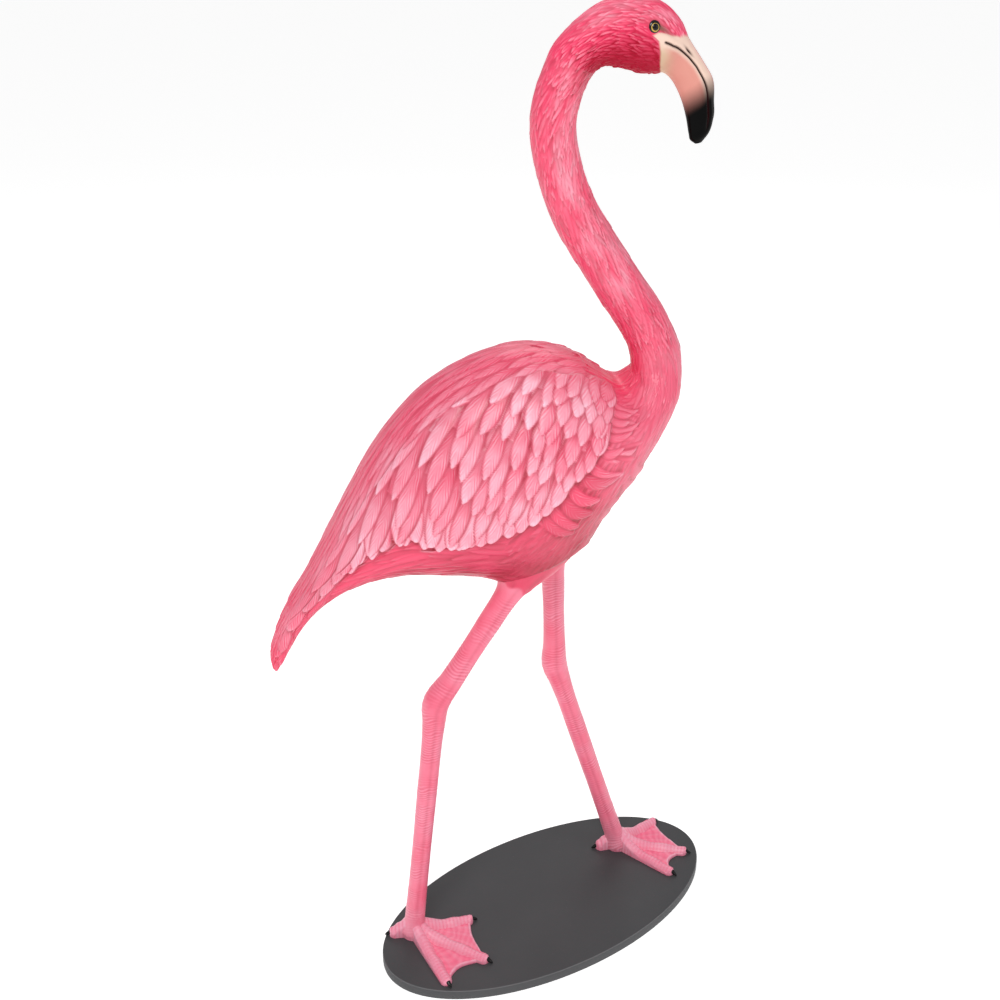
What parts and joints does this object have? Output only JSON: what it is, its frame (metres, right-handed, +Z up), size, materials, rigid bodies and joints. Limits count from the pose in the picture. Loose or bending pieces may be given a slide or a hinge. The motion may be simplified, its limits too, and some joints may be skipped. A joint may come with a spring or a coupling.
{
  "type": "flamingo statue",
  "caption": "Life-size walking flamingo with carved plumage and webbed feet, standing on a low oval board.",
  "frame": {"origin": "centre of the oval board's underside, on the ground", "axes": "+Z up, +X the way the bird faces, +Y its left side"},
  "size_m": [0.7037, 0.3528, 1.4504],
  "materials": {
    "painted_resin": "cast resin, hand painted pink with paler dry-brushed feathers, satin lacquer",
    "painted_board": "board with matt dark grey paint"
  },
  "bodies": {
    "root": {"flamingo": "painted_resin", "base_board": "painted_board"}
  },
  "joints": []
}
